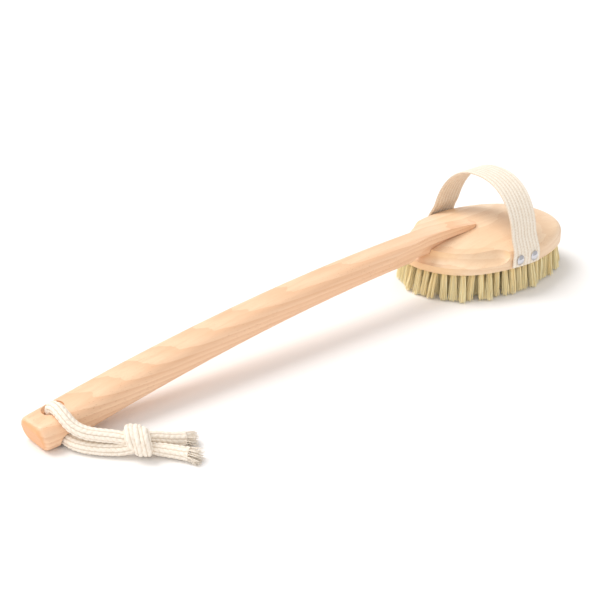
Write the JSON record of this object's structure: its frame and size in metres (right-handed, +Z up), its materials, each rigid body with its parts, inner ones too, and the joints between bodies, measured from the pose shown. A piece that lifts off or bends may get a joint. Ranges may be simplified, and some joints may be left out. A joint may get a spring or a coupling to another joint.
{
  "type": "body dry brush",
  "caption": "Long-handled body dry brush: domed oval wooden head with plant bristles and a webbing hand strap, on a bowed wooden handle that slides out, with a knotted hanging rope",
  "frame": {"origin": "on the surface that the brush lies on, under the middle of the brush without its rope", "axes": "+X runs along the brush from the butt of the handle to the head, +Y to the left of the head, +Z up, bristles down"},
  "size_m": [0.4342, 0.1188, 0.0753],
  "materials": {
    "head_wood": "sanded oiled beech, satin",
    "handle_wood": "sanded oiled beech, satin",
    "webbing": "natural cotton webbing, ribbed weave",
    "nail_metal": "polished nickel dome heads",
    "bristle": "trimmed plant fibre, matt",
    "anchor_wire": "flat drawn wire",
    "rope": "braided cotton rope, matt"
  },
  "bodies": {
    "root": {"head_block": "head_wood", "strap_end_near": "webbing", "strap_end_far": "webbing", "strap_nail_near_1": "nail_metal", "strap_nail_near_2": "nail_metal", "strap_nail_far_1": "nail_metal", "strap_nail_far_2": "nail_metal", "tuft_ring_1": "bristle", "tuft_ring_2": "bristle", "tuft_ring_3": "bristle", "tuft_ring_4": "bristle", "tuft_ring_5": "bristle", "tuft_ring_6": "bristle", "tuft_ring_7": "bristle", "tuft_anchors": "anchor_wire"},
    "handle": {"handle": "handle_wood", "rope_in_handle": "rope", "rope_upper_run": "rope", "rope_lower_run": "rope", "rope_knot": "rope", "rope_tail_upper": "rope", "rope_tail_lower": "rope"},
    "strap": {"strap_arch": "webbing"}
  },
  "joints": [
    {"name": "handle_slide", "type": "slide", "parent": "root", "child": "handle", "axis": [-1, 0, 0], "range_m": [0, 0.075]},
    {"name": "strap_lean", "type": "hinge", "parent": "root", "child": "strap", "pos_m": [0.15147, 0, 0.04], "axis": [0.1645, 0.9864, 0], "range_deg": [-15, 15], "stiffness_Nm_per_rad": 0.02}
  ]
}
